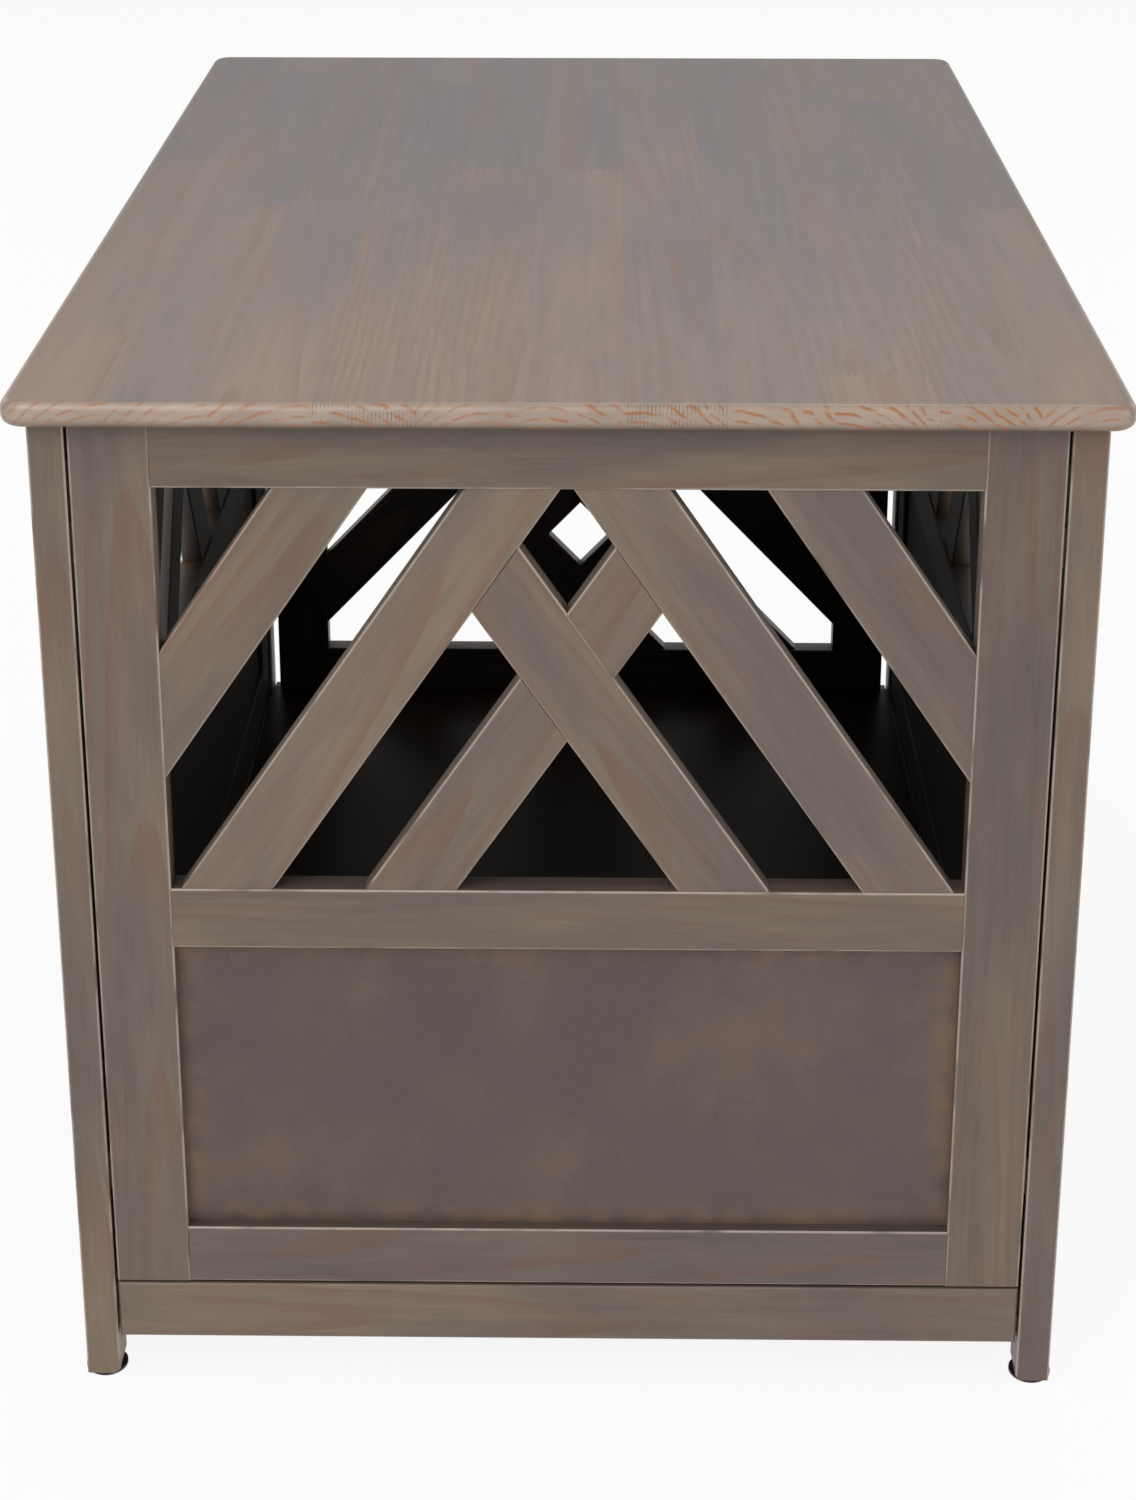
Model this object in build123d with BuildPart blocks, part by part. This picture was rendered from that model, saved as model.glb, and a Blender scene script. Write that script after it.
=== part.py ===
import os
from math import cos, radians, sin, tan

from build123d import *

# Tabletop
top_length = 914.0
top_width = 610.0
top_thickness = 15.0
top_corner_radius = 14.0
top_edge_round = 6.0
top_overhang = 13.0

# Legs and their glides
leg_height = 612.0
leg_thickness = 20.0
leg_depth = 25.0
leg_foot_chamfer = 3.0
glide_radius = 12.5
glide_height = 2.5
glide_rim = 0.8
glide_nail_radius = 1.2
glide_nail_length = 14.0

# Frames that fill the four sides
frame_thickness = 18.0
frame_reveal = 1.8
frame_bottom = 67.0
stile_width = 44.0
rail_width = 37.5
mid_rail_bottom = 293.0
arris = 0.8
panel_recess = 8.0
panel_thickness = 6.0
panel_groove = 6.0
panel_play = 0.5
tenon_length = 10.0
tenon_shoulder = 8.0
mortise_play = 0.5

# Lattice slats
slat_width = 43.3
slat_thickness = 15.0
slat_recess = 1.0
slat_arris = 1.0
side_slat_angle = 56.0
side_slat_first = 89.0
side_slat_pitch = 105.0
door_slat_angle = 46.5
door_slat_first = 45.0
door_slat_pitch = 115.0

# Aprons under the frames
apron_bottom = 26.0
apron_width = 39.0
apron_thickness = 18.0
apron_reveal = 1.1
apron_round = 3.5

# Floor of the crate
floor_thickness = 5.0
floor_top = 68.0
floor_play = 0.5
cleat_size = 18.0

# Door
door_side_gap = 6.0
door_top_gap = 2.5

# Butt hinges of the door
hinge_length = 50.0
hinge_leaf_thickness = 1.5
hinge_leaf_width = 20.0
hinge_stand_off = 0.5
hinge_pin_radius = 1.5
hinge_pin_play = 0.05
hinge_pin_head_radius = 2.4
hinge_pin_head = 1.2
hinge_knuckles = 3
hinge_knuckle_play = 0.3
hinge_swing_play = 0.4
hinge_screw_inset = 10.0
hinge_screw_spacing = 30.0
hinge_inset = 95.0

# Slide bolt on the door and its keeper on the leg
bolt_height = 335.0
bolt_radius = 3.0
bolt_length = 58.0
bolt_travel = 20.0
bolt_tip_inset = 2.0
bolt_tip_chamfer = 0.8
bolt_play = 0.08
bolt_lift = 0.3
bolt_plate_length = 38.0
bolt_plate_width = 26.0
bolt_plate_thickness = 1.5
bolt_plate_inset = 2.0
bolt_guide_length = 5.0
bolt_guide_wall = 1.6
bolt_knob_radius = 2.5
bolt_knob_height = 3.6
bolt_knob_play = 0.5
bolt_screw_rise = 9.2
bolt_screw_spacing = 18.0
keeper_plate_width = 16.0
keeper_inset = 5.0
keeper_length = 8.0
keeper_play = 0.6

# Loose tenons that join the frames and the aprons to the legs
tongue_length = 29.0
tongue_width = 24.0
tongue_thickness = 6.0
tongue_end_play = 0.5
end_frame_tongues = (140.0, 540.0)
side_frame_tongues = (200.0, 450.0)
apron_tongue_width = 11.0
end_apron_tongue = 36.5
side_apron_tongue = 54.5

# Corner blocks and screws
block_size = 38.0
block_height = 28.0
block_screw_length = 38.0
screw_radius = 1.6
screw_head_radius = 3.2
screw_head_height = 1.2
screw_length = 14.0
screw_play = 0.05
screw_end_play = 0.5

body_width = top_width - 2 * top_overhang
body_length = top_length - 2 * top_overhang
leg_bottom = glide_height
between_legs_x = body_width / 2 - leg_thickness
between_legs_y = body_length / 2 - leg_depth
low_rail_top = frame_bottom + rail_width
mid_rail_top = mid_rail_bottom + rail_width
door_top = leg_height - door_top_gap
end_frame_half = between_legs_x - frame_reveal
side_frame_half = between_legs_y - frame_reveal
door_half = between_legs_x - door_side_gap
hinge_heights = (frame_bottom + hinge_inset, door_top - hinge_inset)
barrel_radius = door_side_gap / 2
pin_x = -(between_legs_x - barrel_radius)
pin_y = body_length / 2 + hinge_stand_off + barrel_radius
bolt_out = bolt_plate_thickness + bolt_lift + bolt_radius

# Outer faces of the four sides: x runs along the side, y runs up and z points out
origin_z = leg_bottom
rear_face = Plane((0, -body_length / 2, origin_z), x_dir=(1, 0, 0), z_dir=(0, -1, 0))
door_face = Plane((0, body_length / 2, origin_z), x_dir=(-1, 0, 0), z_dir=(0, 1, 0))
left_face = Plane((-body_width / 2, 0, origin_z), x_dir=(0, -1, 0), z_dir=(-1, 0, 0))
right_face = Plane((body_width / 2, 0, origin_z), x_dir=(0, 1, 0), z_dir=(1, 0, 0))


def block(face, along, up, depth, mode=Mode.ADD):
    """A box between two stations along a face, up it and behind it, put into the open part."""
    with BuildSketch(face.offset(-depth[0])) as outline:
        with Locations(((along[0] + along[1]) / 2, (up[0] + up[1]) / 2)):
            Rectangle(along[1] - along[0], up[1] - up[0])
    extrude(outline.sketch, amount=depth[0] - depth[1], mode=mode)


def cylinder(plane, radius, length, mode=Mode.ADD):
    """A round bar or bore along a plane's normal, put into the open part."""
    with BuildSketch(plane) as outline:
        Circle(radius)
    extrude(outline.sketch, amount=length, mode=mode)


def drill(bores):
    """Pilot bores for screws, each given as a plane, a radius and a length."""
    for plane, radius, length in bores:
        cylinder(plane, radius, length, Mode.SUBTRACT)


def tongue(plane, width, play, mode=Mode.ADD):
    """A loose tenon from its end plane along the normal, or the slot for it with play at its ends."""
    with BuildSketch(plane.offset(-play)) as outline:
        Rectangle(tongue_thickness, width)
    extrude(outline.sketch, amount=tongue_length + 2 * play, mode=mode)


def slot(tongues):
    """Slots for loose tenons, each given as a plane and a width."""
    for plane, width in tongues:
        tongue(plane, width, tongue_end_play, Mode.SUBTRACT)


def finish(piece, name):
    """Names a piece and writes it."""
    piece.label = name
    export_step(piece, f"parts/{name}.step")


def stile(face, along, up, rails, groove_side, grooved, tongues=(), bores=()):
    """An upright with mortises for the rails and a groove for the panel in its inner edge."""
    depth = (panel_recess, panel_recess + panel_thickness)
    edge = along[1] if groove_side > 0 else along[0]
    with BuildPart() as piece:
        block(face, along, up, (0, frame_thickness))
        chamfer(piece.edges().filter_by(Axis.Z), arris)
        for low, high in rails:
            mortise = sorted((edge, edge - groove_side * (tenon_length + mortise_play)))
            block(face, mortise, (low + tenon_shoulder, high - tenon_shoulder), depth, Mode.SUBTRACT)
        for low, high in grooved:
            groove = sorted((edge, edge - groove_side * panel_groove))
            block(face, groove, (low - panel_groove, high + panel_groove), depth, Mode.SUBTRACT)
        slot(tongues)
        drill(bores)
    return piece.part


def rail(face, half, up, groove_sides=()):
    """A crosspiece with a stub tenon at each end and a groove where a panel sits in it."""
    depth = (panel_recess, panel_recess + panel_thickness)
    with BuildPart() as piece:
        block(face, (-half, half), up, (0, frame_thickness))
        chamfer(piece.edges().filter_by(Axis(face.origin, face.x_dir)), arris)
        tenon_up = (up[0] + tenon_shoulder, up[1] - tenon_shoulder)
        block(face, (-half - tenon_length, half + tenon_length), tenon_up, depth)
        for side in groove_sides:
            groove = (up[1] - panel_groove, up[1]) if side > 0 else (up[0], up[0] + panel_groove)
            block(face, (-half, half), groove, depth, Mode.SUBTRACT)
    return piece.part


def panel(face, half, up):
    """A flat panel whose edges sit in the grooves of the frame around it."""
    reach = panel_groove - panel_play
    with BuildPart() as piece:
        block(
            face,
            (-half - reach, half + reach),
            (up[0] - reach, up[1] + reach),
            (panel_recess, panel_recess + panel_thickness),
        )
    return piece.part


def slat_plane(face, foot, lean, angle, sill, depth):
    """A plane at a given depth whose x runs up a slat's middle line from its foot on the sill."""
    direction = face.x_dir * (lean * cos(radians(angle))) + face.y_dir * sin(radians(angle))
    origin = face.from_local_coords((-lean * foot, sill, -depth))
    return Plane(origin, x_dir=direction, z_dir=face.z_dir)


def slat(face, half, up, angle, foot, next_foot, lean):
    """One lattice slat, cut to its window, stopped by the next pair and lapped over its twin."""
    reach = 2 * (half + up[1] - up[0])
    middle = slat_recess + slat_thickness / 2
    line = slat_plane(face, foot, lean, angle, up[0], middle)
    section = Plane(line.origin, x_dir=face.z_dir, z_dir=line.x_dir)
    lap = (slat_recess, middle) if lean > 0 else (middle, slat_recess + slat_thickness)
    with BuildPart() as piece:
        with BuildSketch(section):
            Rectangle(slat_thickness, slat_width)
            chamfer(vertices(), slat_arris)
        extrude(amount=reach, both=True)
        block(face, (-half, half), up, (0, frame_thickness), Mode.INTERSECT)
        with BuildSketch(slat_plane(face, next_foot, -lean, angle, up[0], 0)):
            with Locations((0, -lean * (reach - slat_width / 2))):
                Rectangle(2 * reach, 2 * reach)
        extrude(amount=-frame_thickness, mode=Mode.SUBTRACT)
        with BuildSketch(slat_plane(face, foot, -lean, angle, up[0], lap[0])):
            Rectangle(2 * reach, slat_width)
        extrude(amount=lap[0] - lap[1], mode=Mode.SUBTRACT)
    return piece.part


def lattice(face, half, up, angle, first, pitch):
    """Nested pairs of slats that lean towards each other, as a dictionary by pair and side."""
    slats = {}
    foot = first
    rise = (up[1] - up[0]) / tan(radians(angle))
    pair = 1
    while foot - rise < half:
        for lean, side in ((1, "left"), (-1, "right")):
            slats[(side, pair)] = slat(face, half, up, angle, foot, foot + pitch, lean)
        foot += pitch
        pair += 1
    return slats


def frame(face, half, bottom, top, mid_rail, name, tongues, bores):
    """Two stiles and their rails, with a panel below the middle rail where there is one."""
    inner = half - stile_width
    rails = [(bottom, bottom + rail_width), (top - rail_width, top)]
    panels = []
    if mid_rail:
        rails.append((mid_rail_bottom, mid_rail_top))
        panels.append((bottom + rail_width, mid_rail_bottom))
    height = (bottom, top)
    left = stile(face, (-half, -inner), height, rails, 1, panels, tongues[-1], bores[-1])
    right = stile(face, (inner, half), height, rails, -1, panels, tongues[1], bores[1])
    finish(left, f"{name}_left_stile")
    finish(right, f"{name}_right_stile")
    finish(rail(face, inner, rails[0], (1,) if mid_rail else ()), f"{name}_bottom_rail")
    finish(rail(face, inner, rails[1]), f"{name}_top_rail")
    if mid_rail:
        finish(rail(face, inner, rails[2], (-1,)), f"{name}_middle_rail")
        finish(panel(face, inner, panels[0]), f"{name}_lower_panel")


def group(pieces, name):
    """Separate solids of one kind under one name."""
    finish(Compound(label=name, children=list(pieces)), name)


def tabletop(screw_holes):
    """The glued board, with rounded corners and a rounded edge all round."""
    with BuildPart() as piece:
        with BuildSketch(Plane.XY.offset(leg_bottom + leg_height)):
            RectangleRounded(top_width, top_length, top_corner_radius)
        extrude(amount=top_thickness)
        fillet(piece.faces().sort_by(Axis.Z)[-1].edges(), top_edge_round)
        fillet(piece.faces().sort_by(Axis.Z)[0].edges(), top_edge_round)
        drill(screw_holes)
    return piece.part


def leg(side_x, side_y, tongues, bores):
    """A square-cut post whose inner bottom edge is chamfered, bored for its glide's nail."""
    centre_x = side_x * (between_legs_x + leg_thickness / 2)
    centre_y = side_y * (between_legs_y + leg_depth / 2)
    with BuildPart() as piece:
        with BuildSketch(Plane.XY.offset(leg_bottom)):
            with Locations((centre_x, centre_y)):
                Rectangle(leg_thickness, leg_depth)
        extrude(amount=leg_height)
        chamfer(piece.edges().filter_by(Axis.Z), arris)
        foot = piece.faces().sort_by(Axis.Z)[0]
        inner_edge = foot.edges().filter_by(Axis.Y).sort_by(Axis.X)[0 if side_x > 0 else -1]
        chamfer(inner_edge, leg_foot_chamfer)
        nail_bore = Plane((centre_x, centre_y, leg_bottom))
        nail_radius = glide_nail_radius + screw_play
        drill([(nail_bore, nail_radius, glide_nail_length + screw_end_play)])
        slot(tongues)
        drill(bores)
    return piece.part


def glide(side_x, side_y):
    """A round foot with a softened rim and the nail that holds it in the leg."""
    centre_x = side_x * (between_legs_x + leg_thickness / 2)
    centre_y = side_y * (between_legs_y + leg_depth / 2)
    with BuildPart() as piece:
        cylinder(Plane((centre_x, centre_y, 0)), glide_radius, glide_height)
        chamfer(piece.faces().sort_by(Axis.Z)[0].edges(), glide_rim)
        cylinder(Plane((centre_x, centre_y, glide_height)), glide_nail_radius, glide_nail_length)
    return piece.part


def apron(face, half, tongues):
    """A board below a frame, with its front edges and ends rounded over."""
    with BuildPart() as piece:
        block(face, (-half, half), (apron_bottom, apron_bottom + apron_width), (0, apron_thickness))
        front = piece.faces().sort_by(Axis(face.origin, face.z_dir))[-1]
        fillet(front.edges(), apron_round)
        slot(tongues)
    return piece.part


def cleat(along_x, along_y):
    """A square strip under the floor panel."""
    with BuildPart() as piece:
        with BuildSketch(Plane.XY.offset(leg_bottom + floor_top - floor_thickness)):
            with Locations(((along_x[0] + along_x[1]) / 2, (along_y[0] + along_y[1]) / 2)):
                Rectangle(along_x[1] - along_x[0], along_y[1] - along_y[0])
        extrude(amount=-cleat_size)
        chamfer(piece.edges().group_by(Axis.Z)[0], arris)
    return piece.part


def floor_panel():
    """The loose panel that the animal stands on, resting on the cleats."""
    length = 2 * (body_length / 2 - frame_thickness - floor_play)
    with BuildPart() as piece:
        with BuildSketch(Plane.XY.offset(leg_bottom + floor_top)):
            Rectangle(2 * (between_legs_x - floor_play), length)
        extrude(amount=-floor_thickness)
    return piece.part


def tongue_plane(face, gap_middle, side, up):
    """The end plane of a loose tenon that crosses the gap between a leg and the piece beside it."""
    centre = face.from_local_coords((side * gap_middle, up, -frame_thickness / 2))
    return Plane(centre - face.x_dir * (tongue_length / 2), x_dir=face.z_dir, z_dir=face.x_dir)


def loose_tenon(plane, width):
    """A flat tongue that holds two pieces in line."""
    with BuildPart() as piece:
        tongue(plane, width, 0)
    return piece.part


def countersunk(plane, length, play, mode=Mode.ADD):
    """A flat-headed screw from its head's face along the plane's normal, or the hole for it."""
    bottom = (Align.CENTER, Align.CENTER, Align.MIN)
    with Locations(plane):
        Cone(screw_head_radius + play, screw_radius + play, screw_head_height, align=bottom, mode=mode)
        Cylinder(screw_radius + play, length, align=bottom, mode=mode)


def screw(plane, length):
    """A flat-headed screw."""
    with BuildPart() as piece:
        countersunk(plane, length, 0)
    return piece.part


def screw_bore(plane, length):
    """The pilot hole of a screw."""
    return (plane, screw_radius + screw_play, length + screw_end_play)


def hinge_screw_planes(side, height):
    """The two screws of a leaf: side is -1 towards the leg and 1 towards the door."""
    x = pin_x + side * (barrel_radius - hinge_leaf_thickness)
    y = body_length / 2 - hinge_screw_inset
    middle = leg_bottom + height
    rises = (-hinge_screw_spacing / 2, hinge_screw_spacing / 2)
    return [Plane((x, y, middle + rise), z_dir=(side, 0, 0)) for rise in rises]


def hinge_leaf(side, height):
    """A leaf with alternate knuckles round the pin, cleared for the knuckles of the other."""
    knuckle = hinge_length / hinge_knuckles
    base = leg_bottom + height - hinge_length / 2
    back = body_length / 2 - hinge_leaf_width
    with BuildPart() as piece:
        with BuildSketch(Plane.XY.offset(base)):
            with Locations((pin_x + side * (barrel_radius - hinge_leaf_thickness / 2), (back + pin_y) / 2)):
                Rectangle(hinge_leaf_thickness, pin_y - back)
        extrude(amount=hinge_length)
        for index in range(hinge_knuckles):
            level = Plane((pin_x, pin_y, base + index * knuckle))
            low_play = hinge_knuckle_play if index > 0 else 0
            high_play = hinge_knuckle_play if index < hinge_knuckles - 1 else 0
            if (index % 2 == 0) == (side < 0):
                cylinder(level.offset(low_play), barrel_radius, knuckle - low_play - high_play)
            else:
                cylinder(level, barrel_radius + hinge_swing_play, knuckle, Mode.SUBTRACT)
        bore = Plane((pin_x, pin_y, base))
        cylinder(bore, hinge_pin_radius + hinge_pin_play, hinge_length, Mode.SUBTRACT)
        for plane in hinge_screw_planes(side, height):
            countersunk(plane, screw_length, screw_play, Mode.SUBTRACT)
    return piece.part


def hinge_pin(height):
    """A pin with a flat head on the top knuckle."""
    base = leg_bottom + height - hinge_length / 2
    top = base + hinge_length
    with BuildPart() as piece:
        cylinder(Plane((pin_x, pin_y, base)), hinge_pin_radius, top - base)
        cylinder(Plane((pin_x, pin_y, top)), hinge_pin_head_radius, hinge_pin_head)
    return piece.part


def bolt_section(along):
    """A plane across the bolt at a station along the door, with x up and y out of the door."""
    origin = door_face.from_local_coords((along, bolt_height, bolt_out))
    return Plane(origin, x_dir=door_face.y_dir, z_dir=door_face.x_dir)


def bolt_loop(along, length, play):
    """A round-backed loop that stands on its plate and takes the bolt."""
    radius = bolt_radius + play + bolt_guide_wall
    rise = bolt_radius + bolt_lift
    with BuildSketch(bolt_section(along)) as outline:
        Circle(radius)
        with Locations((0, -rise / 2)):
            Rectangle(2 * radius, rise)
        with Locations((0, -rise)):
            Rectangle(2 * radius, rise + radius, align=(Align.CENTER, Align.MIN), mode=Mode.INTERSECT)
    extrude(outline.sketch, amount=length)
    cylinder(bolt_section(along), bolt_radius + play, length, Mode.SUBTRACT)


def bolt_plate_span():
    """The two ends of the bolt's plate along the door."""
    start = -door_half + bolt_plate_inset
    return (start, start + bolt_plate_length)


def bolt_screw_planes():
    """The four screws of the bolt's plate."""
    middle = sum(bolt_plate_span()) / 2
    planes = []
    for along in (middle - bolt_screw_spacing / 2, middle + bolt_screw_spacing / 2):
        for rise in (-bolt_screw_rise, bolt_screw_rise):
            head = door_face.from_local_coords((along, bolt_height + rise, bolt_plate_thickness))
            planes.append(Plane(head, z_dir=-door_face.z_dir))
    return planes


def bolt_plate():
    """The plate that carries the bolt in two loops."""
    start, end = bolt_plate_span()
    up = (bolt_height - bolt_plate_width / 2, bolt_height + bolt_plate_width / 2)
    with BuildPart() as piece:
        block(door_face, (start, end), up, (-bolt_plate_thickness, 0))
        for along in (start, end - bolt_guide_length):
            bolt_loop(along, bolt_guide_length, bolt_play)
        for plane in bolt_screw_planes():
            countersunk(plane, screw_length, screw_play, Mode.SUBTRACT)
    return piece.part


def slide_bolt():
    """The round bolt with its knob, drawn back so that the door is free."""
    tip = -door_half + bolt_tip_inset
    knob = bolt_plate_span()[1] - bolt_guide_length - bolt_knob_play - bolt_knob_radius
    knob_origin = door_face.from_local_coords((knob, bolt_height, bolt_out))
    with BuildPart() as piece:
        cylinder(bolt_section(tip), bolt_radius, bolt_length)
        ends = piece.edges().sort_by(Axis(door_face.origin, door_face.x_dir))
        chamfer([ends[0], ends[-1]], bolt_tip_chamfer)
        knob_plane = Plane(knob_origin, z_dir=door_face.z_dir)
        cylinder(knob_plane, bolt_knob_radius, bolt_radius + bolt_knob_height)
        crown = piece.faces().sort_by(Axis(door_face.origin, door_face.z_dir))[-1]
        fillet(crown.edges(), bolt_tip_chamfer)
    return piece.part


def keeper_screw_planes():
    """The two screws of the keeper."""
    along = -(between_legs_x + keeper_inset + keeper_length / 2)
    planes = []
    for rise in (-bolt_screw_rise, bolt_screw_rise):
        head = door_face.from_local_coords((along, bolt_height + rise, bolt_plate_thickness))
        planes.append(Plane(head, z_dir=-door_face.z_dir))
    return planes


def bolt_keeper():
    """The loop on the leg that the bolt slides into."""
    start = -(between_legs_x + keeper_inset + keeper_length)
    middle = start + keeper_length / 2
    along = (middle - keeper_plate_width / 2, middle + keeper_plate_width / 2)
    up = (bolt_height - bolt_plate_width / 2, bolt_height + bolt_plate_width / 2)
    with BuildPart() as piece:
        block(door_face, along, up, (-bolt_plate_thickness, 0))
        bolt_loop(start, keeper_length, keeper_play)
        for plane in keeper_screw_planes():
            countersunk(plane, screw_length, screw_play, Mode.SUBTRACT)
    return piece.part


def corner_block(side_x, side_y):
    """A block in an upper corner that holds the tabletop down."""
    edge_y = body_length / 2 - frame_thickness - (floor_play if side_y > 0 else 0)
    centre = (side_x * (between_legs_x - block_size / 2), side_y * (edge_y - block_size / 2))
    head = Plane((*centre, leg_bottom + leg_height - block_height), z_dir=(0, 0, 1))
    with BuildPart() as piece:
        with BuildSketch(head):
            with Locations(head.to_local_coords(Vector(*centre, head.origin.Z))):
                Rectangle(block_size, block_size)
        extrude(amount=block_height)
        chamfer(piece.edges().group_by(Axis.Z)[0], arris)
        countersunk(head, block_screw_length, screw_play, Mode.SUBTRACT)
    return piece.part, head


def corner(point):
    """Which leg a point belongs to, as the signs of its x and y."""
    return (1 if point.X > 0 else -1, 1 if point.Y > 0 else -1)


os.makedirs("parts", exist_ok=True)

faces = {"rear": rear_face, "door": door_face, "left": left_face, "right": right_face}
corners = [(-1, -1), (1, -1), (-1, 1), (1, 1)]

# Loose tenons, and the slots that they need in the legs, the stiles and the aprons
tenons = []
leg_slots = {key: [] for key in corners}
stile_slots = {name: {-1: [], 1: []} for name in faces}
apron_slots = {name: [] for name in faces}
for name, face in faces.items():
    end = name in ("rear", "door")
    between = between_legs_x if end else between_legs_y
    heights = end_frame_tongues if end else side_frame_tongues
    for side in (-1, 1):
        for height in () if name == "door" else heights:
            place = (tongue_plane(face, between - frame_reveal / 2, side, height), tongue_width)
            tenons.append(loose_tenon(*place))
            stile_slots[name][side].append(place)
            leg_slots[corner(place[0].origin)].append(place)
        height = end_apron_tongue if end else side_apron_tongue
        place = (tongue_plane(face, between - apron_reveal / 2, side, height), apron_tongue_width)
        tenons.append(loose_tenon(*place))
        apron_slots[name].append(place)
        leg_slots[corner(place[0].origin)].append(place)
group(tenons, "loose_tenons")

# Screws of the hinges, the bolt and the keeper
leg_screws = []
door_screws = []
leg_bores = {key: [] for key in corners}
stile_bores = {name: {-1: [], 1: []} for name in faces}
for height in hinge_heights:
    for plane in hinge_screw_planes(-1, height):
        leg_screws.append(screw(plane, screw_length))
        leg_bores[(-1, 1)].append(screw_bore(plane, screw_length))
    for plane in hinge_screw_planes(1, height):
        door_screws.append(screw(plane, screw_length))
        stile_bores["door"][1].append(screw_bore(plane, screw_length))
for plane in bolt_screw_planes():
    door_screws.append(screw(plane, screw_length))
    stile_bores["door"][-1].append(screw_bore(plane, screw_length))
for plane in keeper_screw_planes():
    leg_screws.append(screw(plane, screw_length))
    leg_bores[(1, 1)].append(screw_bore(plane, screw_length))
group(leg_screws, "leg_hardware_screws")
group(door_screws, "door_hardware_screws")

# Tabletop and the blocks that hold it
blocks = [corner_block(*key) for key in corners]
group([piece for piece, head in blocks], "corner_blocks")
group([screw(head, block_screw_length) for piece, head in blocks], "corner_block_screws")
finish(tabletop([screw_bore(head, block_screw_length) for piece, head in blocks]), "tabletop")

# Legs and glides
for key, name in zip(corners, ("rear_left", "rear_right", "door_left", "door_right")):
    finish(leg(*key, leg_slots[key], leg_bores[key]), f"leg_{name}")
group([glide(*key) for key in corners], "leg_glides")

# The three fixed frames and the door
window = (mid_rail_top, leg_height - rail_width)
halves = {"rear": end_frame_half, "left": side_frame_half, "right": side_frame_half}
for name, half in halves.items():
    face = faces[name]
    frame(face, half, frame_bottom, leg_height, True, name, stile_slots[name], stile_bores[name])
    inner = half - stile_width
    slats = lattice(face, inner, window, side_slat_angle, side_slat_first, side_slat_pitch)
    if name == "rear":
        for (side, pair), piece in slats.items():
            finish(piece, f"rear_slat_{side}_{pair}")
    else:
        group(slats.values(), f"{name}_slats")

no_slots = stile_slots["door"]
frame(door_face, door_half, frame_bottom, door_top, False, "door", no_slots, stile_bores["door"])
door_window = (low_rail_top, door_top - rail_width)
door_inner = door_half - stile_width
slats = lattice(door_face, door_inner, door_window, door_slat_angle, door_slat_first, door_slat_pitch)
for side in ("left", "right"):
    group([piece for key, piece in slats.items() if key[0] == side], f"door_{side}_slats")

# Aprons, cleats and floor
for name, face in faces.items():
    between = between_legs_x if name in ("rear", "door") else between_legs_y
    finish(apron(face, between - apron_reveal, apron_slots[name]), f"{name}_apron")
side_inner = body_width / 2 - apron_thickness
end_inner = body_length / 2 - apron_thickness
side_cleats = []
end_cleats = []
for side in (-1, 1):
    along_x = sorted((side * side_inner, side * (side_inner - cleat_size)))
    side_cleats.append(cleat(along_x, (-between_legs_y + floor_play, between_legs_y - floor_play)))
    along_y = sorted((side * end_inner, side * (end_inner - cleat_size)))
    end_cleats.append(cleat((cleat_size - side_inner, side_inner - cleat_size), along_y))
group(side_cleats, "floor_side_cleats")
group(end_cleats, "floor_end_cleats")
finish(floor_panel(), "floor_panel")

# Hinges and latch
for height, name in zip(hinge_heights, ("low", "high")):
    finish(hinge_leaf(-1, height), f"{name}_hinge_leg_leaf")
    finish(hinge_leaf(1, height), f"{name}_hinge_door_leaf")
group([hinge_pin(height) for height in hinge_heights], "hinge_pins")
finish(bolt_plate(), "bolt_plate")
finish(slide_bolt(), "slide_bolt")
finish(bolt_keeper(), "bolt_keeper")
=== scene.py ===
"""Looks of the pet crate end table: finishes for every CAD piece, a plain stage, lamps and the camera.

The model's own nodes are shown as they are, in metres, with +Y towards the door end.
"""

import math

import bpy
import numpy as np
from bpy.props import FloatProperty, FloatVectorProperty, PointerProperty
from bpy.types import Operator, Panel, PropertyGroup
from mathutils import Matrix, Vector


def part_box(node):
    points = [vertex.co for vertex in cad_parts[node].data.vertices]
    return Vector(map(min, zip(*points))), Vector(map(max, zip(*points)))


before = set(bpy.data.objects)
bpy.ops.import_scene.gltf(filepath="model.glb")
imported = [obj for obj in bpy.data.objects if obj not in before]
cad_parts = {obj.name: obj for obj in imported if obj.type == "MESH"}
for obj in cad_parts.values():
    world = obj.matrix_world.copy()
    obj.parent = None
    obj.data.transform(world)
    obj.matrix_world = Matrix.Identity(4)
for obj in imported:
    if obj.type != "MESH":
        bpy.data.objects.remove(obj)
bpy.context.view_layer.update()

bl_info = {
    "name": "Pet Crate End Table",
    "version": (1, 0, 0),
    "blender": (4, 5, 0),
    "location": "3D View > Sidebar > Crate Table",
    "description": "Stained wood, board, metal and plastic finishes for a pet crate end table",
    "category": "Material",
}

MM = 0.001


# Settings that a user would change


def colour(name, description, red, green, blue):
    """A colour setting, written in the 0 to 255 steps of a screen."""
    return FloatVectorProperty(
        name=name,
        description=description,
        default=(red / 255, green / 255, blue / 255),
        min=0,
        max=1,
        subtype="COLOR_GAMMA",
    )


def length(name, description, millimetres):
    """A length setting in metres, written in millimetres."""
    metres = millimetres * MM
    return FloatProperty(name=name, description=description, default=metres, min=0, unit="LENGTH")


def share(name, description, value):
    """A setting from 0 to 1."""
    return FloatProperty(name=name, description=description, default=value, min=0, max=1, subtype="FACTOR")


def level(name, description, value):
    """A setting of 0 or more."""
    return FloatProperty(name=name, description=description, default=value, min=0)


def angle(name, description, degrees):
    """An angle setting, written in degrees."""
    radians = math.radians(degrees)
    return FloatProperty(name=name, description=description, default=radians, unit="ROTATION")


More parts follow.
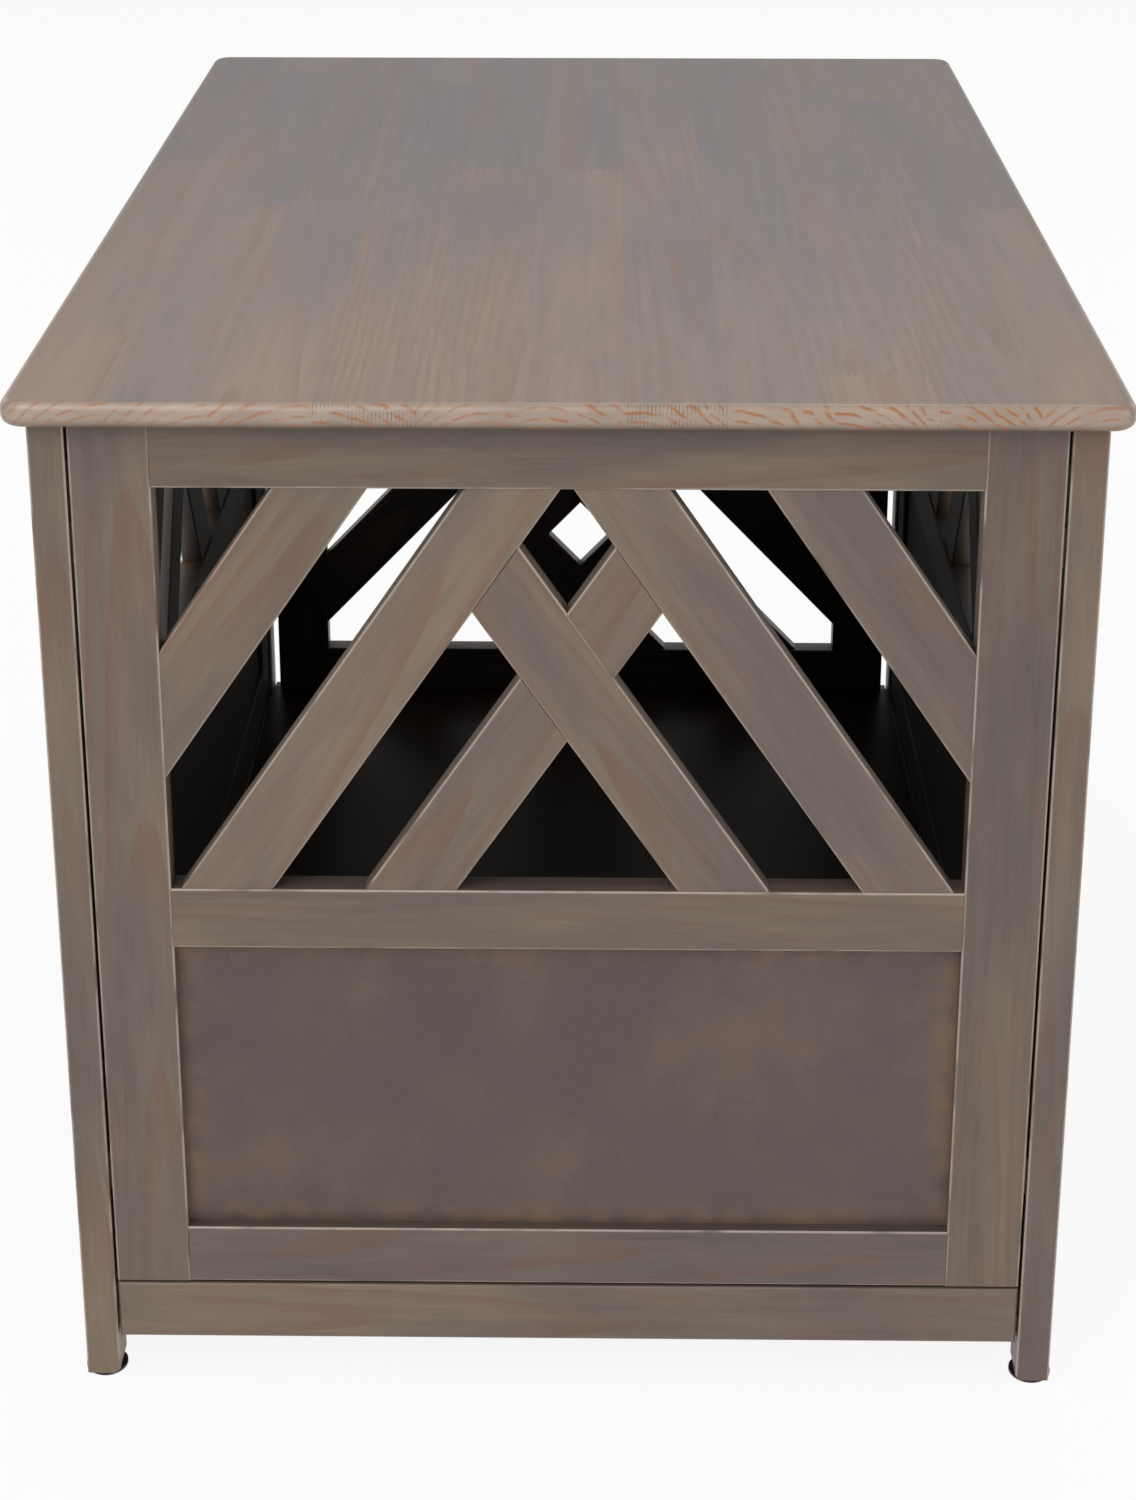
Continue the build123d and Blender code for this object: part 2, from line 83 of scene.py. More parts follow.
class StainedWood(PropertyGroup):
    """Stain and grain of the legs, rails, stiles, slats and aprons."""

    cool: colour("Cool stain", "Mauve grey of the stain where it lies thick", 104, 90, 85)
    warm: colour("Warm stain", "Olive brown of the stain where it lies thin", 120, 103, 85)
    ring: colour("Ring brown", "Red brown of the late wood under the stain", 112, 82, 66)
    # Rubbed edge and its width: partly wear and partly a painted highlight along the arrises
    rubbed: colour("Rubbed edge", "Pale wood where an edge is rubbed through", 196, 180, 166)
    # Painted shade: a dark brown put on the faces that look inward, standing in for the shade inside the
    # crate
    inner: colour("Inner side", "Dark brown stain on the sides that face the inside", 30, 21, 17)
    ring_spacing: length("Ring spacing", "Distance between two growth rings", 5.5)
    ring_strength: share("Ring strength", "How far the rings show through the stain", 0.62)
    wear_and_highlight_width: length("Rubbed width", "How far the rubbed edge reaches on to a face", 1.5)
    roughness: share("Roughness", "Roughness of the satin lacquer", 0.46)


class GluedTop(PropertyGroup):
    """Staves, finger joints and end grain of the tabletop."""

    cool: colour("Cool stain", "Grey of the stain on the top", 106, 98, 97)
    warm: colour("Warm stain", "Warm taupe of the stain on the top", 127, 106, 91)
    ring: colour("Ring brown", "Brown of the rings on the top", 112, 84, 68)
    end_pale: colour("End grain", "Pale sanded wood of the ends", 162, 143, 127)
    end_ring: colour("End rings", "Orange brown of the rings on the ends", 158, 104, 62)
    joint: colour("Joint line", "Dark line of a finger joint", 88, 72, 62)
    stave_width: length("Stave width", "Width of one glued stave", 55.7)
    block_length: length("Block length", "Length of one finger-jointed block", 430)
    finger_pitch: length("Finger pitch", "Distance between two fingers of a joint", 4.2)
    finger_length: length("Finger length", "Length of a finger of a joint", 9)
    roughness: share("Roughness", "Roughness of the top's lacquer", 0.36)


class PaintedBoard(PropertyGroup):
    """The smooth board of the lower panels and of the floor."""

    panel: colour("Panel", "Purple brown of the lower panels", 92, 76, 73)
    panel_rub: colour("Panel rub", "Warm brown where the panel meets its frame", 120, 96, 76)
    # Floor: painted shade, a near-black brown standing in for the shade inside the crate
    floor: colour("Floor", "Dark brown of the glossy floor", 36, 25, 20)
    panel_roughness: share("Panel roughness", "Roughness of the lower panels", 0.5)
    floor_roughness: share("Floor roughness", "Roughness of the floor", 0.34)


class SmallParts(PropertyGroup):
    """Metal and plastic of the hardware and the glides."""

    metal: colour("Metal", "Dark bronze of the hinges and the bolt", 52, 44, 39)
    screw: colour("Screw", "Dark zinc of the screws", 62, 56, 52)
    glide: colour("Glide", "Black plastic of the glides", 22, 22, 23)
    metal_roughness: share("Metal roughness", "Roughness of the satin metal", 0.32)


class Stage(PropertyGroup):
    """Floor, lamps and camera."""

    floor: colour("Floor", "Pale floor under the table", 238, 238, 238)
    world: level("World", "Strength of the light all round", 0.5)
    key: level("Key", "Power in watts of the large lamp above and in front", 62)
    fill: level("Fill", "Power in watts of the lamps on the other sides", 20)
    lens: level("Lens", "Focal length in mm on a 36 mm long side", 68.8)
    pitch: angle("Pitch", "How far the camera looks down", 19.4)
    yaw: angle("Yaw", "How far the camera turns", 0.74)
    place: FloatVectorProperty(
        name="Place",
        description="Where the camera stands",
        default=(0.0193, -1.901, 1.113),
        unit="LENGTH",
    )
    shift: FloatProperty(
        name="Shift",
        description="Upward shift of the view as a share of its long side",
        default=-0.2,
    )


SETTINGS = (StainedWood, GluedTop, PaintedBoard, SmallParts, Stage)


class CrateTable(PropertyGroup):
    """All settings of the table."""

    wood: PointerProperty(type=StainedWood)
    top: PointerProperty(type=GluedTop)
    board: PointerProperty(type=PaintedBoard)
    small: PointerProperty(type=SmallParts)
    stage: PointerProperty(type=Stage)


# Shader maths


def linear(screen):
    """The linear colour, with alpha, of a screen colour from 0 to 1."""
    steps = [v / 12.92 if v <= 0.04045 else ((v + 0.055) / 1.055) ** 2.4 for v in screen]
    return (*steps, 1.0)


class Value:
    """A socket of a material's node tree. Operators on it add the Math nodes that they stand for."""

    def __init__(self, finish, socket):
        self.finish = finish
        self.socket = socket

    def math(self, operation, *items, clamp=False):
        settings = {"operation": operation, "use_clamp": clamp}
        return self.finish.add("ShaderNodeMath", settings, dict(enumerate(items)))

    def __add__(self, other):
        return self.math("ADD", self, other)

    def __radd__(self, other):
        return self.math("ADD", other, self)

    def __sub__(self, other):
        return self.math("SUBTRACT", self, other)

    def __rsub__(self, other):
        return self.math("SUBTRACT", other, self)

    def __mul__(self, other):
        return self.math("MULTIPLY", self, other)

    def __rmul__(self, other):
        return self.math("MULTIPLY", other, self)

    def __truediv__(self, other):
        return self.math("DIVIDE", self, other)

    def __abs__(self):
        return self.math("ABSOLUTE", self)

    def floor(self):
        return self.math("FLOOR", self)

    def fraction(self):
        return self.math("FRACT", self)

    def root(self):
        return self.math("SQRT", self)

    def least(self, other):
        return self.math("MINIMUM", self, other)

    def most(self, other):
        return self.math("MAXIMUM", self, other)

    def along(self, direction):
        """The length of this vector along a direction."""
        settings = {"operation": "DOT_PRODUCT"}
        return self.finish.add("ShaderNodeVectorMath", settings, {0: self, 1: direction}, "Value")

    def step(self, low, high):
        """0 at low and 1 at high, eased in between. low may be above high."""
        backwards = low > high
        ends = (high, low) if backwards else (low, high)
        settings = {"interpolation_type": "SMOOTHSTEP"}
        sockets = {"Value": self, "From Min": ends[0], "From Max": ends[1]}
        eased = self.finish.add("ShaderNodeMapRange", settings, sockets)
        return 1 - eased if backwards else eased


class Finish:
    """A procedural material in the making."""

    def __init__(self, name):
        self.material = bpy.data.materials.new(name)
        self.material.use_nodes = True
        self.tree = self.material.node_tree
        self.tree.nodes.clear()
        self.shader = self.tree.nodes.new("ShaderNodeBsdfPrincipled")
        output = self.tree.nodes.new("ShaderNodeOutputMaterial")
        self.tree.links.new(self.shader.outputs[0], output.inputs[0])
        self.place = self.tree.nodes.new("ShaderNodeTexCoord")
        self.point = Value(self, self.place.outputs["Object"])
        self.normal = Value(self, self.place.outputs["Normal"])

    def put(self, socket, item):
        """Sets a socket to a number, or links a value to it."""
        if isinstance(item, Value):
            self.tree.links.new(item.socket, socket)
        else:
            socket.default_value = item

    def add(self, kind, settings, sockets, output=0):
        """One node of a kind, with its settings first and then its sockets' values or links."""
        node = self.tree.nodes.new(kind)
        for name, value in settings.items():
            setattr(node, name, value)
        for name, item in sockets.items():
            self.put(node.inputs[name], item)
        return Value(self, node.outputs[output])

    def vector(self, x, y, z):
        return self.add("ShaderNodeCombineXYZ", {}, {0: x, 1: y, 2: z})

    def noise(self, x, y, z, detail=2.0, roughness=0.5):
        """Smooth noise from 0 to 1 at a point, one cell to a unit."""
        place = self.vector(x, y, z)
        sockets = {"Vector": place, "Scale": 1.0, "Detail": detail, "Roughness": roughness}
        return self.add("ShaderNodeTexNoise", {}, sockets)

    def chance(self, number):
        """A number from 0 to 1 for each whole number."""
        return self.add("ShaderNodeTexWhiteNoise", {"noise_dimensions": "1D"}, {"W": number})

    def mix(self, factor, first, second):
        """A colour between two colours."""
        return self.add("ShaderNodeMix", {"data_type": "RGBA"}, {0: factor, 6: first, 7: second}, 2)

    def shade(self, tint, factor):
        """A colour made darker or lighter by a factor near 1."""
        start = tint if isinstance(tint, Value) else tint[:3]
        return self.add("ShaderNodeVectorMath", {"operation": "SCALE"}, {0: start, "Scale": factor})

    def bump(self, height, depth, strength=1.0):
        """Bumps of a height from 0 to 1, depth metres deep."""
        sockets = {"Height": height, "Distance": depth, "Strength": strength}
        self.put(self.shader.inputs["Normal"], self.add("ShaderNodeBump", {}, sockets))

    def give(self, **sockets):
        """Sets the shader's own sockets, whose names have _ for a space."""
        for name, item in sockets.items():
            self.put(self.shader.inputs[name.replace("_", " ")], item)


def growth(finish, grain, across, depth, spacing, seed):
    """Late wood from 0 to 1: rings round a pith line that lies beside the board and slowly nears it.

    The radius is the root of the sum of the squares of the distances from the pith, shaken by noise. Each
    ring darkens slowly and ends at once.
    """
    sway = finish.noise(grain * 3.0, across * 22.0, seed, 2.0)
    reach = across + (sway - 0.5) * 0.012
    radius = (reach * reach + depth * depth).root()
    phase = (radius / spacing + sway * 0.9).fraction()
    return phase.step(0.35, 0.93) * phase.step(1.0, 0.94)


def edge_nearness(distances, width):
    """1 on an edge of a board and 0 beyond a width. The distances are from the sides of its section."""
    farther = distances[0].most(distances[1])
    return farther.step(width, width * 0.25)


def side_distance(value, low, high):
    """How far a value lies inside a low and a high limit."""
    return (value - low).least(high - value)


# The stained wood

X, Y, Z = (1.0, 0.0, 0.0), (0.0, 1.0, 0.0), (0.0, 0.0, 1.0)

# Each side of the table: the direction along it as seen from outside, and its outward direction
FACES = {
    "rear": (X, (0.0, -1.0, 0.0)),
    "door": ((-1.0, 0.0, 0.0), Y),
    "left": ((0.0, -1.0, 0.0), (-1.0, 0.0, 0.0)),
    "right": (Y, X),
}
SILL = {"rear": 0.333, "left": 0.333, "right": 0.333, "door": 0.107}
SLAT_WIDTH = 0.0433
SIDE_LATTICE = (math.radians(56), 0.089, 0.105)
DOOR_LATTICE = (math.radians(46.5), 0.045, 0.115)


def vertices(node):
    """A node's vertices as an array of points."""
    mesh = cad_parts[node].data
    points = np.empty(len(mesh.vertices) * 3)
    mesh.vertices.foreach_get("co", points)
    return points.reshape(-1, 3)


def span(points, direction):
    """The lowest and highest place of points along a direction."""
    places = points @ np.array(direction, float)
    return float(places.min()), float(places.max())


class Board:
    """Where a board lies: its grain, the direction across it, its low side, its width and its thickness.

    With a pitch, boards like it lie side by side that far apart, and are counted from the first.
    """

    def __init__(self, grain, across, low, width, thick, pitch=None):
        self.grain = tuple(float(v) for v in grain)
        self.across = tuple(float(v) for v in across)
        self.facing = tuple(float(v) for v in np.cross(grain, across))
        self.low = low
        self.width = width
        self.thick = thick
        self.pitch = pitch


def straight_board(node, grain, across):
    """The board of a node whose grain runs along an axis."""
    points = vertices(node)
    low, high = span(points, across)
    return Board(grain, across, low, high - low, span(points, np.cross(grain, across)))


def slat_board(node, side, lean):
    """The row of slats on a side of the table that lean to the right (1) or to the left (-1)."""
    angle, first, pitch = DOOR_LATTICE if side == "door" else SIDE_LATTICE
    axis = np.array(FACES[side][0])
    grain = axis * lean * math.cos(angle) + np.array(Z) * math.sin(angle)
    across = np.array(Z) * math.cos(angle) - axis * lean * math.sin(angle)
    low = first * math.sin(angle) + SILL[side] * math.cos(angle) - SLAT_WIDTH / 2
    thick = span(vertices(node), np.cross(grain, across))
    return Board(grain, across, low, SLAT_WIDTH, thick, pitch * math.sin(angle))


# Cells of noise to a metre, along the grain and across it
CLOUD_CELLS = (3.4, 15.0)
HAZE_CELLS = (8.0, 26.0)
STREAK_CELLS = (7.0, 170.0)
FIBRE_CELLS = (45.0, 620.0)
WEAR_AND_HIGHLIGHT_CELLS = (30.0, 60.0)


def drawn_out(finish, point, cells, detail, roughness=0.5):
    """Noise drawn out along the grain, at a point given along, across and through a board."""
    run, across, thick = point
    return finish.noise(run * cells[0], across * cells[1], thick * cells[1], detail, roughness)


class Grown:
    """The looks of one board's wood: its colour, its height for bumps and its streaks, from 0 to 1."""

    def __init__(self, finish, board, seed, tone, warmth):
        wood = bpy.context.scene.crate_table.wood
        run = finish.point.along(board.grain) + seed * 1.7
        side = finish.point.along(board.across) - board.low
        thick = finish.point.along(board.facing)
        self.count = 0.0
        own = seed
        if board.pitch:
            self.count = ((side - board.width / 2) / board.pitch + 0.5).floor().most(0.0)
            side = side - self.count * board.pitch
            own = self.count * 3.7 + seed
        chance = finish.chance(own)
        self.inside = side_distance(side, 0.0, board.width)
        near = edge_nearness((self.inside, side_distance(thick, *board.thick)), wood.wear_and_highlight_width)
        across = side + chance * 3.0
        point = (run, across, thick)
        clouds = drawn_out(finish, point, CLOUD_CELLS, 3.0, 0.55)
        haze = finish.noise(run * HAZE_CELLS[0], across * HAZE_CELLS[1], own, 3.0)
        self.streaks = drawn_out(finish, point, STREAK_CELLS, 3.0, 0.58)
        fibres = drawn_out(finish, point, FIBRE_CELLS, 2.0)
        centre = side - board.width * (0.2 + 0.6 * chance)
        depth = thick - board.thick[0] + 0.008 + chance * 0.03 + (run - seed * 1.7) * 0.03
        self.rings = growth(finish, run, centre, depth, wood.ring_spacing, own)
        patches = clouds.step(0.34, 0.66) * 0.6 + haze.step(0.34, 0.66) * 0.4
        lean = patches.math("ADD", patches, warmth, clamp=True)
        tint = finish.mix(lean, linear(wood.cool), linear(wood.warm))
        late = self.rings * wood.ring_strength * haze.step(0.36, 0.62)
        tint = finish.mix(late, tint, linear(wood.ring))
        fine = (self.streaks - 0.5) * 0.4 + (fibres - 0.5) * 0.3
        broad = (chance - 0.5) * 0.06 + (haze + clouds - 1.0) * 0.34
        tint = finish.shade(tint, fine + broad + tone * 0.93)
        # The pale edges are partly wear and partly a painted highlight on the arrises
        rub = near * drawn_out(finish, point, WEAR_AND_HIGHLIGHT_CELLS, 2.0).step(0.25, 0.55)
        self.tint = finish.mix(rub * 0.7, tint, linear(wood.rubbed))
        self.height = fibres * 0.5 + self.streaks * 0.5 + self.rings * 0.25


def pick(finish, factor, first, second):
    """A number between two numbers."""
    return first + (second - first) * factor


def wood_finish(name, board, seed, tone=1.0, warmth=0.0, inward=None, twin=None, reveal_shade=0.8):
    """Stained wood for a board, dark on the faces that look inward.

    Its sides get painted shade towards them by the share reveal_shade, and its ledges get painted shade
    too.
    A twin row leans the other way. Where both could lie, the later pair is the longer slat, and of one
    pair the twin lies in front.
    """
    wood = bpy.context.scene.crate_table.wood
    finish = Finish(name)
    grown = Grown(finish, board, seed, tone, warmth)
    tint, height, streaks, rings = grown.tint, grown.height, grown.streaks, grown.rings
    if twin:
        other = Grown(finish, twin, seed + 9.1, tone, warmth)
        outward = tuple(-v for v in inward)
        low, high = sorted(abs(v) for v in board.thick)
        middle = (low + high) / 2
        front = finish.point.along(outward).step(middle - 0.1 * MM, middle + 0.1 * MM)
        here = grown.inside.step(-0.6 * MM, 0.0) * (grown.count + 1.25)
        there = other.inside.step(-0.6 * MM, 0.0) * (other.count + 1.0 + front * 0.5)
        is_twin = there.math("GREATER_THAN", there, here)
        tint = finish.mix(is_twin, tint, other.tint)
        height = pick(finish, is_twin, height, other.height)
        streaks = pick(finish, is_twin, streaks, other.streaks)
        rings = pick(finish, is_twin, rings, other.rings)
    if inward:
        low, high = board.thick
        depth = (finish.point.along(board.facing) - low) / (high - low)
        if np.dot(board.facing, inward) < 0:
            depth = 1.0 - depth
        # Painted shade: the sides of the board darken towards the faces that look inward
        tint = finish.shade(tint, 1.0 - depth.step(0.04, 0.9) * reveal_shade)
        # Upward faces get painted shade, darker where the streaks are
        ledge_shade = finish.normal.along(Z).step(0.6, 0.95)
        tint = finish.shade(tint, 1.0 - ledge_shade * (0.2 + streaks * 0.3))
        # Faces that look inward get painted shade: their colour goes to the dark inner colour, with faint
        # rings
        inward_shade_mask = finish.normal.along(inward).step(0.35, 0.8)
        late = finish.mix(rings * 0.1, linear(wood.inner), linear(wood.ring))
        dark = finish.shade(late, 0.75 + streaks * 0.35)
        tint = finish.mix(inward_shade_mask * 0.94, tint, dark)
    rough = wood.roughness - 0.06 + streaks * 0.14
    if inward:
        rough = rough + inward_shade_mask * 0.35
    finish.give(Base_Color=tint, Roughness=rough, Coat_Weight=0.05, Coat_Roughness=0.3)
    finish.bump(height, 0.12 * MM, 0.6)
    return finish.material


def wear(node, material):
    """Puts one material on a node of the CAD model."""
    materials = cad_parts[node].data.materials
    materials.clear()
    materials.append(material)


class CRATE_OT_legs(Operator):
    """Stains the four legs, with their grain upright."""

    bl_idname = "crate_table.legs"
    bl_label = "Finish the legs"

    def execute(self, context):
        looks = {
            "leg_rear_left": (1.3, 1.02, 0.25),
            "leg_rear_right": (2.9, 1.03, 0.0),
            "leg_door_left": (4.1, 1.0, 0.0),
            "leg_door_right": (5.7, 1.0, 0.1),
        }
        for node, (seed, tone, warmth) in looks.items():
            wear(node, wood_finish(node, straight_board(node, Z, X), seed, tone, warmth))
        return {"FINISHED"}


class CRATE_OT_frames(Operator):
    """Stains the stiles, rails and aprons of the four sides, each along its own grain."""

    bl_idname = "crate_table.frames"
    bl_label = "Finish the frames"

    def execute(self, context):
        looks = {
            "left_stile": (0.98, 0.0),
            "right_stile": (0.95, 0.02),
            "top_rail": (0.9, 0.15),
            "middle_rail": (1.0, 0.1),
            "bottom_rail": (0.93, -0.3),
            "apron": (1.06, 0.15),
        }
        for number, (side, (axis, outward)) in enumerate(FACES.items()):
            inward = tuple(-v for v in outward)
            axis = tuple(abs(v) for v in axis)
            for place, (piece, (tone, warmth)) in enumerate(looks.items()):
                node = f"{side}_{piece}"
                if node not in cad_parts:
                    continue
                grain, across = (Z, axis) if "stile" in piece else (axis, Z)
                board = straight_board(node, grain, across)
                look = {"inward": inward, "reveal_shade": 0.3 if side == "rear" else 0.8}
                seed = 7.3 + number * 5.1 + place * 2.3
                wear(node, wood_finish(node, board, seed, tone, warmth, **look))
        return {"FINISHED"}


class CRATE_OT_slats(Operator):
    """Stains the crossed slats, each along its own slope."""

    bl_idname = "crate_table.slats"
    bl_label = "Finish the slats"

    def execute(self, context):
        tones = {1: 1.06, 2: 1.09, 3: 1.05}
        for number, tone in tones.items():
            for lean, hand in ((1, "left"), (-1, "right")):
                node = f"rear_slat_{hand}_{number}"
                seed = 27.3 + number * 2.7 + lean * 5.9
                look = {"inward": (0.0, 1.0, 0.0), "reveal_shade": 0.3}
                board = slat_board(node, "rear", lean)
                wear(node, wood_finish(node, board, seed, tone, 0.1 * lean, **look))
        for lean, hand in ((1, "left"), (-1, "right")):
            node = f"door_{hand}_slats"
            board = slat_board(node, "door", lean)
            wear(node, wood_finish(node, board, 51.7 + lean, 1.05, inward=(0.0, -1.0, 0.0)))
        for side in ("left", "right"):
            node = f"{side}_slats"
            inward = tuple(-v for v in FACES[side][1])
            rows = [slat_board(node, side, lean) for lean in (1, -1)]
            wear(node, wood_finish(node, rows[0], 61.3, 1.05, 0.0, inward, rows[1]))
        return {"FINISHED"}


class CRATE_OT_tabletop(Operator):
    """Stains the glued top: staves, finger joints, rings and end grain."""

    bl_idname = "crate_table.tabletop"
    bl_label = "Finish the tabletop"

    def execute(self, context):
        top = context.scene.crate_table.top
        finish = Finish("tabletop")
        parts = finish.add("ShaderNodeSeparateXYZ", {}, {0: finish.point})
        x, y, z = (Value(finish, socket) for socket in parts.socket.node.outputs)
        low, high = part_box("tabletop")
        stave_place = (x + 0.136) / top.stave_width
        stave = stave_place.floor()
        stave_chance = finish.chance(stave + 0.37)
        finger = x.math("PINGPONG", x, top.finger_pitch / 2) * (top.finger_length / (top.finger_pitch / 2))
        block_place = (y + finger) / top.block_length + stave_chance * 5.3
        block = block_place.floor()
        board = stave * 7.0 + block * 3.1
        chance = finish.chance(board + 0.61)
        second = finish.chance(board + 5.83)
        local = (stave_place.fraction() - 0.5) * top.stave_width
        centre = local + (chance - 0.5) * 0.05
        depth = z - float(low.z) + 0.006 + second * 0.06 + (y + block) * (0.05 * (chance - 0.5))
        rings = growth(finish, y, centre, depth, 0.0052, board)
        clouds = finish.noise(y * 3.2 + board, x * 16.0, board, 3.0, 0.55)
        patches = finish.noise(y * 2.0, x * 2.6, 4.4, 2.0, 0.5)
        streaks = finish.noise(y * 6.0, x * 170.0 + board, z * 170.0, 3.0, 0.6)
        fibres = finish.noise(y * 34.0, x * 620.0, z * 620.0, 2.0)
        # The y term makes the front warmer than the back: painted light, standing in for the grey sheen on
        # the back
        lean = clouds * 0.7 + patches * 0.5 + (second - 0.5) * 0.14 + y.step(0.3, -0.45) * 0.2
        tint = finish.mix(lean.step(0.45, 1.0), linear(top.cool), linear(top.warm))
        late = rings * streaks.step(0.3, 0.65) * clouds.step(0.32, 0.55)
        tint = finish.mix(late * 0.6, tint, linear(top.ring))
        to_joint = block_place.fraction()
        to_joint = to_joint.least(1.0 - to_joint) * top.block_length
        to_glue = (0.5 - abs(stave_place.fraction() - 0.5)) * top.stave_width
        joint = to_joint.step(1.1 * MM, 0.3 * MM) * finish.noise(x * 400.0, y * 90.0, 0.0).step(0.35, 0.6)
        glue = to_glue.step(0.6 * MM, 0.1 * MM) * finish.noise(y * 12.0, stave * 3.0, 0.0).step(0.5, 0.75)
        tint = finish.mix(joint * 0.3, tint, linear(top.joint))
        tint = finish.mix(glue * 0.25, tint, linear(top.joint))
        fine = (streaks - 0.5) * 0.52 + (fibres - 0.5) * 0.28
        # The y term makes the front lighter than the back: painted light
        broad = (chance - 0.5) * 0.07 + (clouds - 0.5) * 0.22 + y.step(0.25, -0.45) * 0.1
        tint = finish.shade(tint, fine + broad + 1.12)
        to_side = float(high.x) - abs(x)
        to_end = float(high.y) - abs(y)
        # The pale band along the top's edges is partly wear and partly a painted highlight on the rounded
        # arris
        wear_and_highlight_patches = finish.noise(x * 16.0, y * 16.0, z * 90.0, 3.0).step(0.25, 0.6)
        rub = to_side.least(to_end).step(6.2 * MM, MM) * wear_and_highlight_patches
        tint = finish.mix(rub * 0.5, tint, linear(top.end_pale))
        end = self.end_grain(finish, top, x, z, local, stave, float(low.z))
        at_end = to_end.step(5.2 * MM, 1.8 * MM)
        tint = finish.mix(at_end, tint, end)
        rough = top.roughness - 0.04 + streaks * 0.1
        finish.give(Base_Color=tint, Roughness=rough, Coat_Weight=0.15, Coat_Roughness=0.24)
        finish.bump(fibres * 0.4 + streaks * 0.5 + rings * 0.2 - joint * 0.6, 0.1 * MM, 0.5)
        wear("tabletop", finish.material)
        return {"FINISHED"}

    @staticmethod
    def end_grain(finish, top, x, z, local, stave, bottom):
        """Rings cut across, as arcs round a pith below each stave, and combs of fingers on two staves."""
        chance = finish.chance(stave + 0.19)
        side = finish.chance(stave + 8.41)
        shake = finish.noise(x * 90.0, z * 90.0, stave, 2.0)
        across = local * (0.5 + side * 0.8) + (chance - 0.5) * 0.08 + (shake - 0.5) * 0.006
        height = z - bottom + 0.004 + side * 0.05
        radius = (across * across + height * height).root()
        phase = (radius / (5.4 * MM) + shake * 0.5).fraction()
        rings = phase.step(0.58, 0.8) * phase.step(1.0, 0.94)
        broken = finish.noise(x * 110.0, z * 260.0, stave, 2.0).step(0.36, 0.56)
        # The lower part of the end grain gets painted shade, where the rounded edge turns down
        under = z.step(bottom + 6.5 * MM, bottom + MM)
        grey = finish.noise(x * 36.0, z * 60.0, 1.7, 3.0) * 0.5 + 0.74 - under * 0.42
        base = finish.shade(linear(top.end_pale), grey)
        tint = finish.mix(rings * broken * (0.5 + 0.5 * chance), base, linear(top.end_ring))
        comb_stave = stave.math("COMPARE", stave, 0.0, 0.5) + stave.math("COMPARE", stave, 3.0, 0.5)
        tooth = (x / (top.finger_pitch * 0.5)).fraction()
        gaps = finish.noise(x * 500.0, z * 300.0, 2.0).step(0.3, 0.55)
        comb = tooth.step(0.3, 0.42) * tooth.step(0.78, 0.6) * gaps
        ragged = finish.noise(x * 60.0, z * 200.0, 7.0, 2.0).step(0.4, 0.6)
        return finish.mix(comb * comb_stave * ragged * 0.6, tint, linear(top.joint))


class CRATE_OT_panels(Operator):
    """Paints the lower panels, rubbed where they meet their frames."""

    bl_idname = "crate_table.panels"
    bl_label = "Finish the lower panels"

    def execute(self, context):
        board = context.scene.crate_table.board
        wood = context.scene.crate_table.wood
        for number, side in enumerate(("rear", "left", "right")):
            node = f"{side}_lower_panel"
            axis = tuple(abs(v) for v in FACES[side][0])
            inward = tuple(-v for v in FACES[side][1])
            finish = Finish(node)
            points = vertices(node)
            along = finish.point.along(axis)
            up = finish.point.along(Z)
            groove = 5.5 * MM
            ends = [v + s * groove for v, s in zip(span(points, axis), (1, -1))]
            levels = [v + s * groove for v, s in zip(span(points, Z), (1, -1))]
            to_end = side_distance(along, *ends)
            to_rail = side_distance(up, *levels)
            clouds = finish.noise(along * 15.0 + number, up * 11.0, 3.1 + number, 4.0, 0.6)
            haze = finish.noise(along * 5.0, up * 4.0, 8.7 + number, 2.0)
            specks = finish.noise(along * 520.0, up * 520.0, number + 0.3, 2.0)
            rough_edge = finish.noise(along * 60.0, up * 60.0, 5.2, 3.0)
            rub = to_end.least(to_rail).step(20 * MM, MM) * rough_edge.step(0.25, 0.8)
            warm = clouds.step(0.42, 0.72) * 0.4 + rub * 0.9
            tint = finish.mix(warm, linear(board.panel), linear(board.panel_rub))
            tint = finish.shade(tint, 0.53 + haze * 0.28 + specks * 0.26 + clouds * 0.2)
            # Faces that look inward get painted shade in the dark inner colour
            inward_shade_mask = finish.normal.along(inward).step(0.35, 0.8)
            tint = finish.mix(inward_shade_mask * 0.94, tint, linear(wood.inner))
            rough = board.panel_roughness - 0.05 + clouds * 0.1 + inward_shade_mask * 0.35
            finish.give(Base_Color=tint, Roughness=rough)
            finish.bump(specks * 0.6 + clouds * 0.4, 0.08 * MM, 0.5)
            wear(node, finish.material)
        return {"FINISHED"}


class CRATE_OT_floor_panel(Operator):
    """Paints the glossy floor and stains the cleats under it."""

    bl_idname = "crate_table.floor_panel"
    bl_label = "Finish the floor"

    def execute(self, context):
        board = context.scene.crate_table.board
        finish = Finish("floor_panel")
        x, y = finish.point.along(X), finish.point.along(Y)
        figure = finish.noise(x * 60.0, y * 4.0, 0.7, 3.0, 0.6)
        cloud = finish.noise(x * 8.0, y * 3.0, 2.3, 3.0)
        # The dark floor colour is painted shade of the crate's inside
        tint = finish.shade(linear(board.floor), 0.7 + figure * 0.4 + cloud * 0.25)
        smear = finish.noise(x * 14.0, y * 5.0, 6.1, 3.0)
        rough = board.floor_roughness - 0.04 + smear * 0.12
        finish.give(Base_Color=tint, Roughness=rough, Specular_IOR_Level=0.1)
        finish.bump(figure, 0.05 * MM, 0.4)
        wear("floor_panel", finish.material)
        for node, axis in (("floor_side_cleats", Y), ("floor_end_cleats", X)):
            wear(node, wood_finish(node, straight_board(node, axis, Z), 71.9, 0.9))
        return {"FINISHED"}


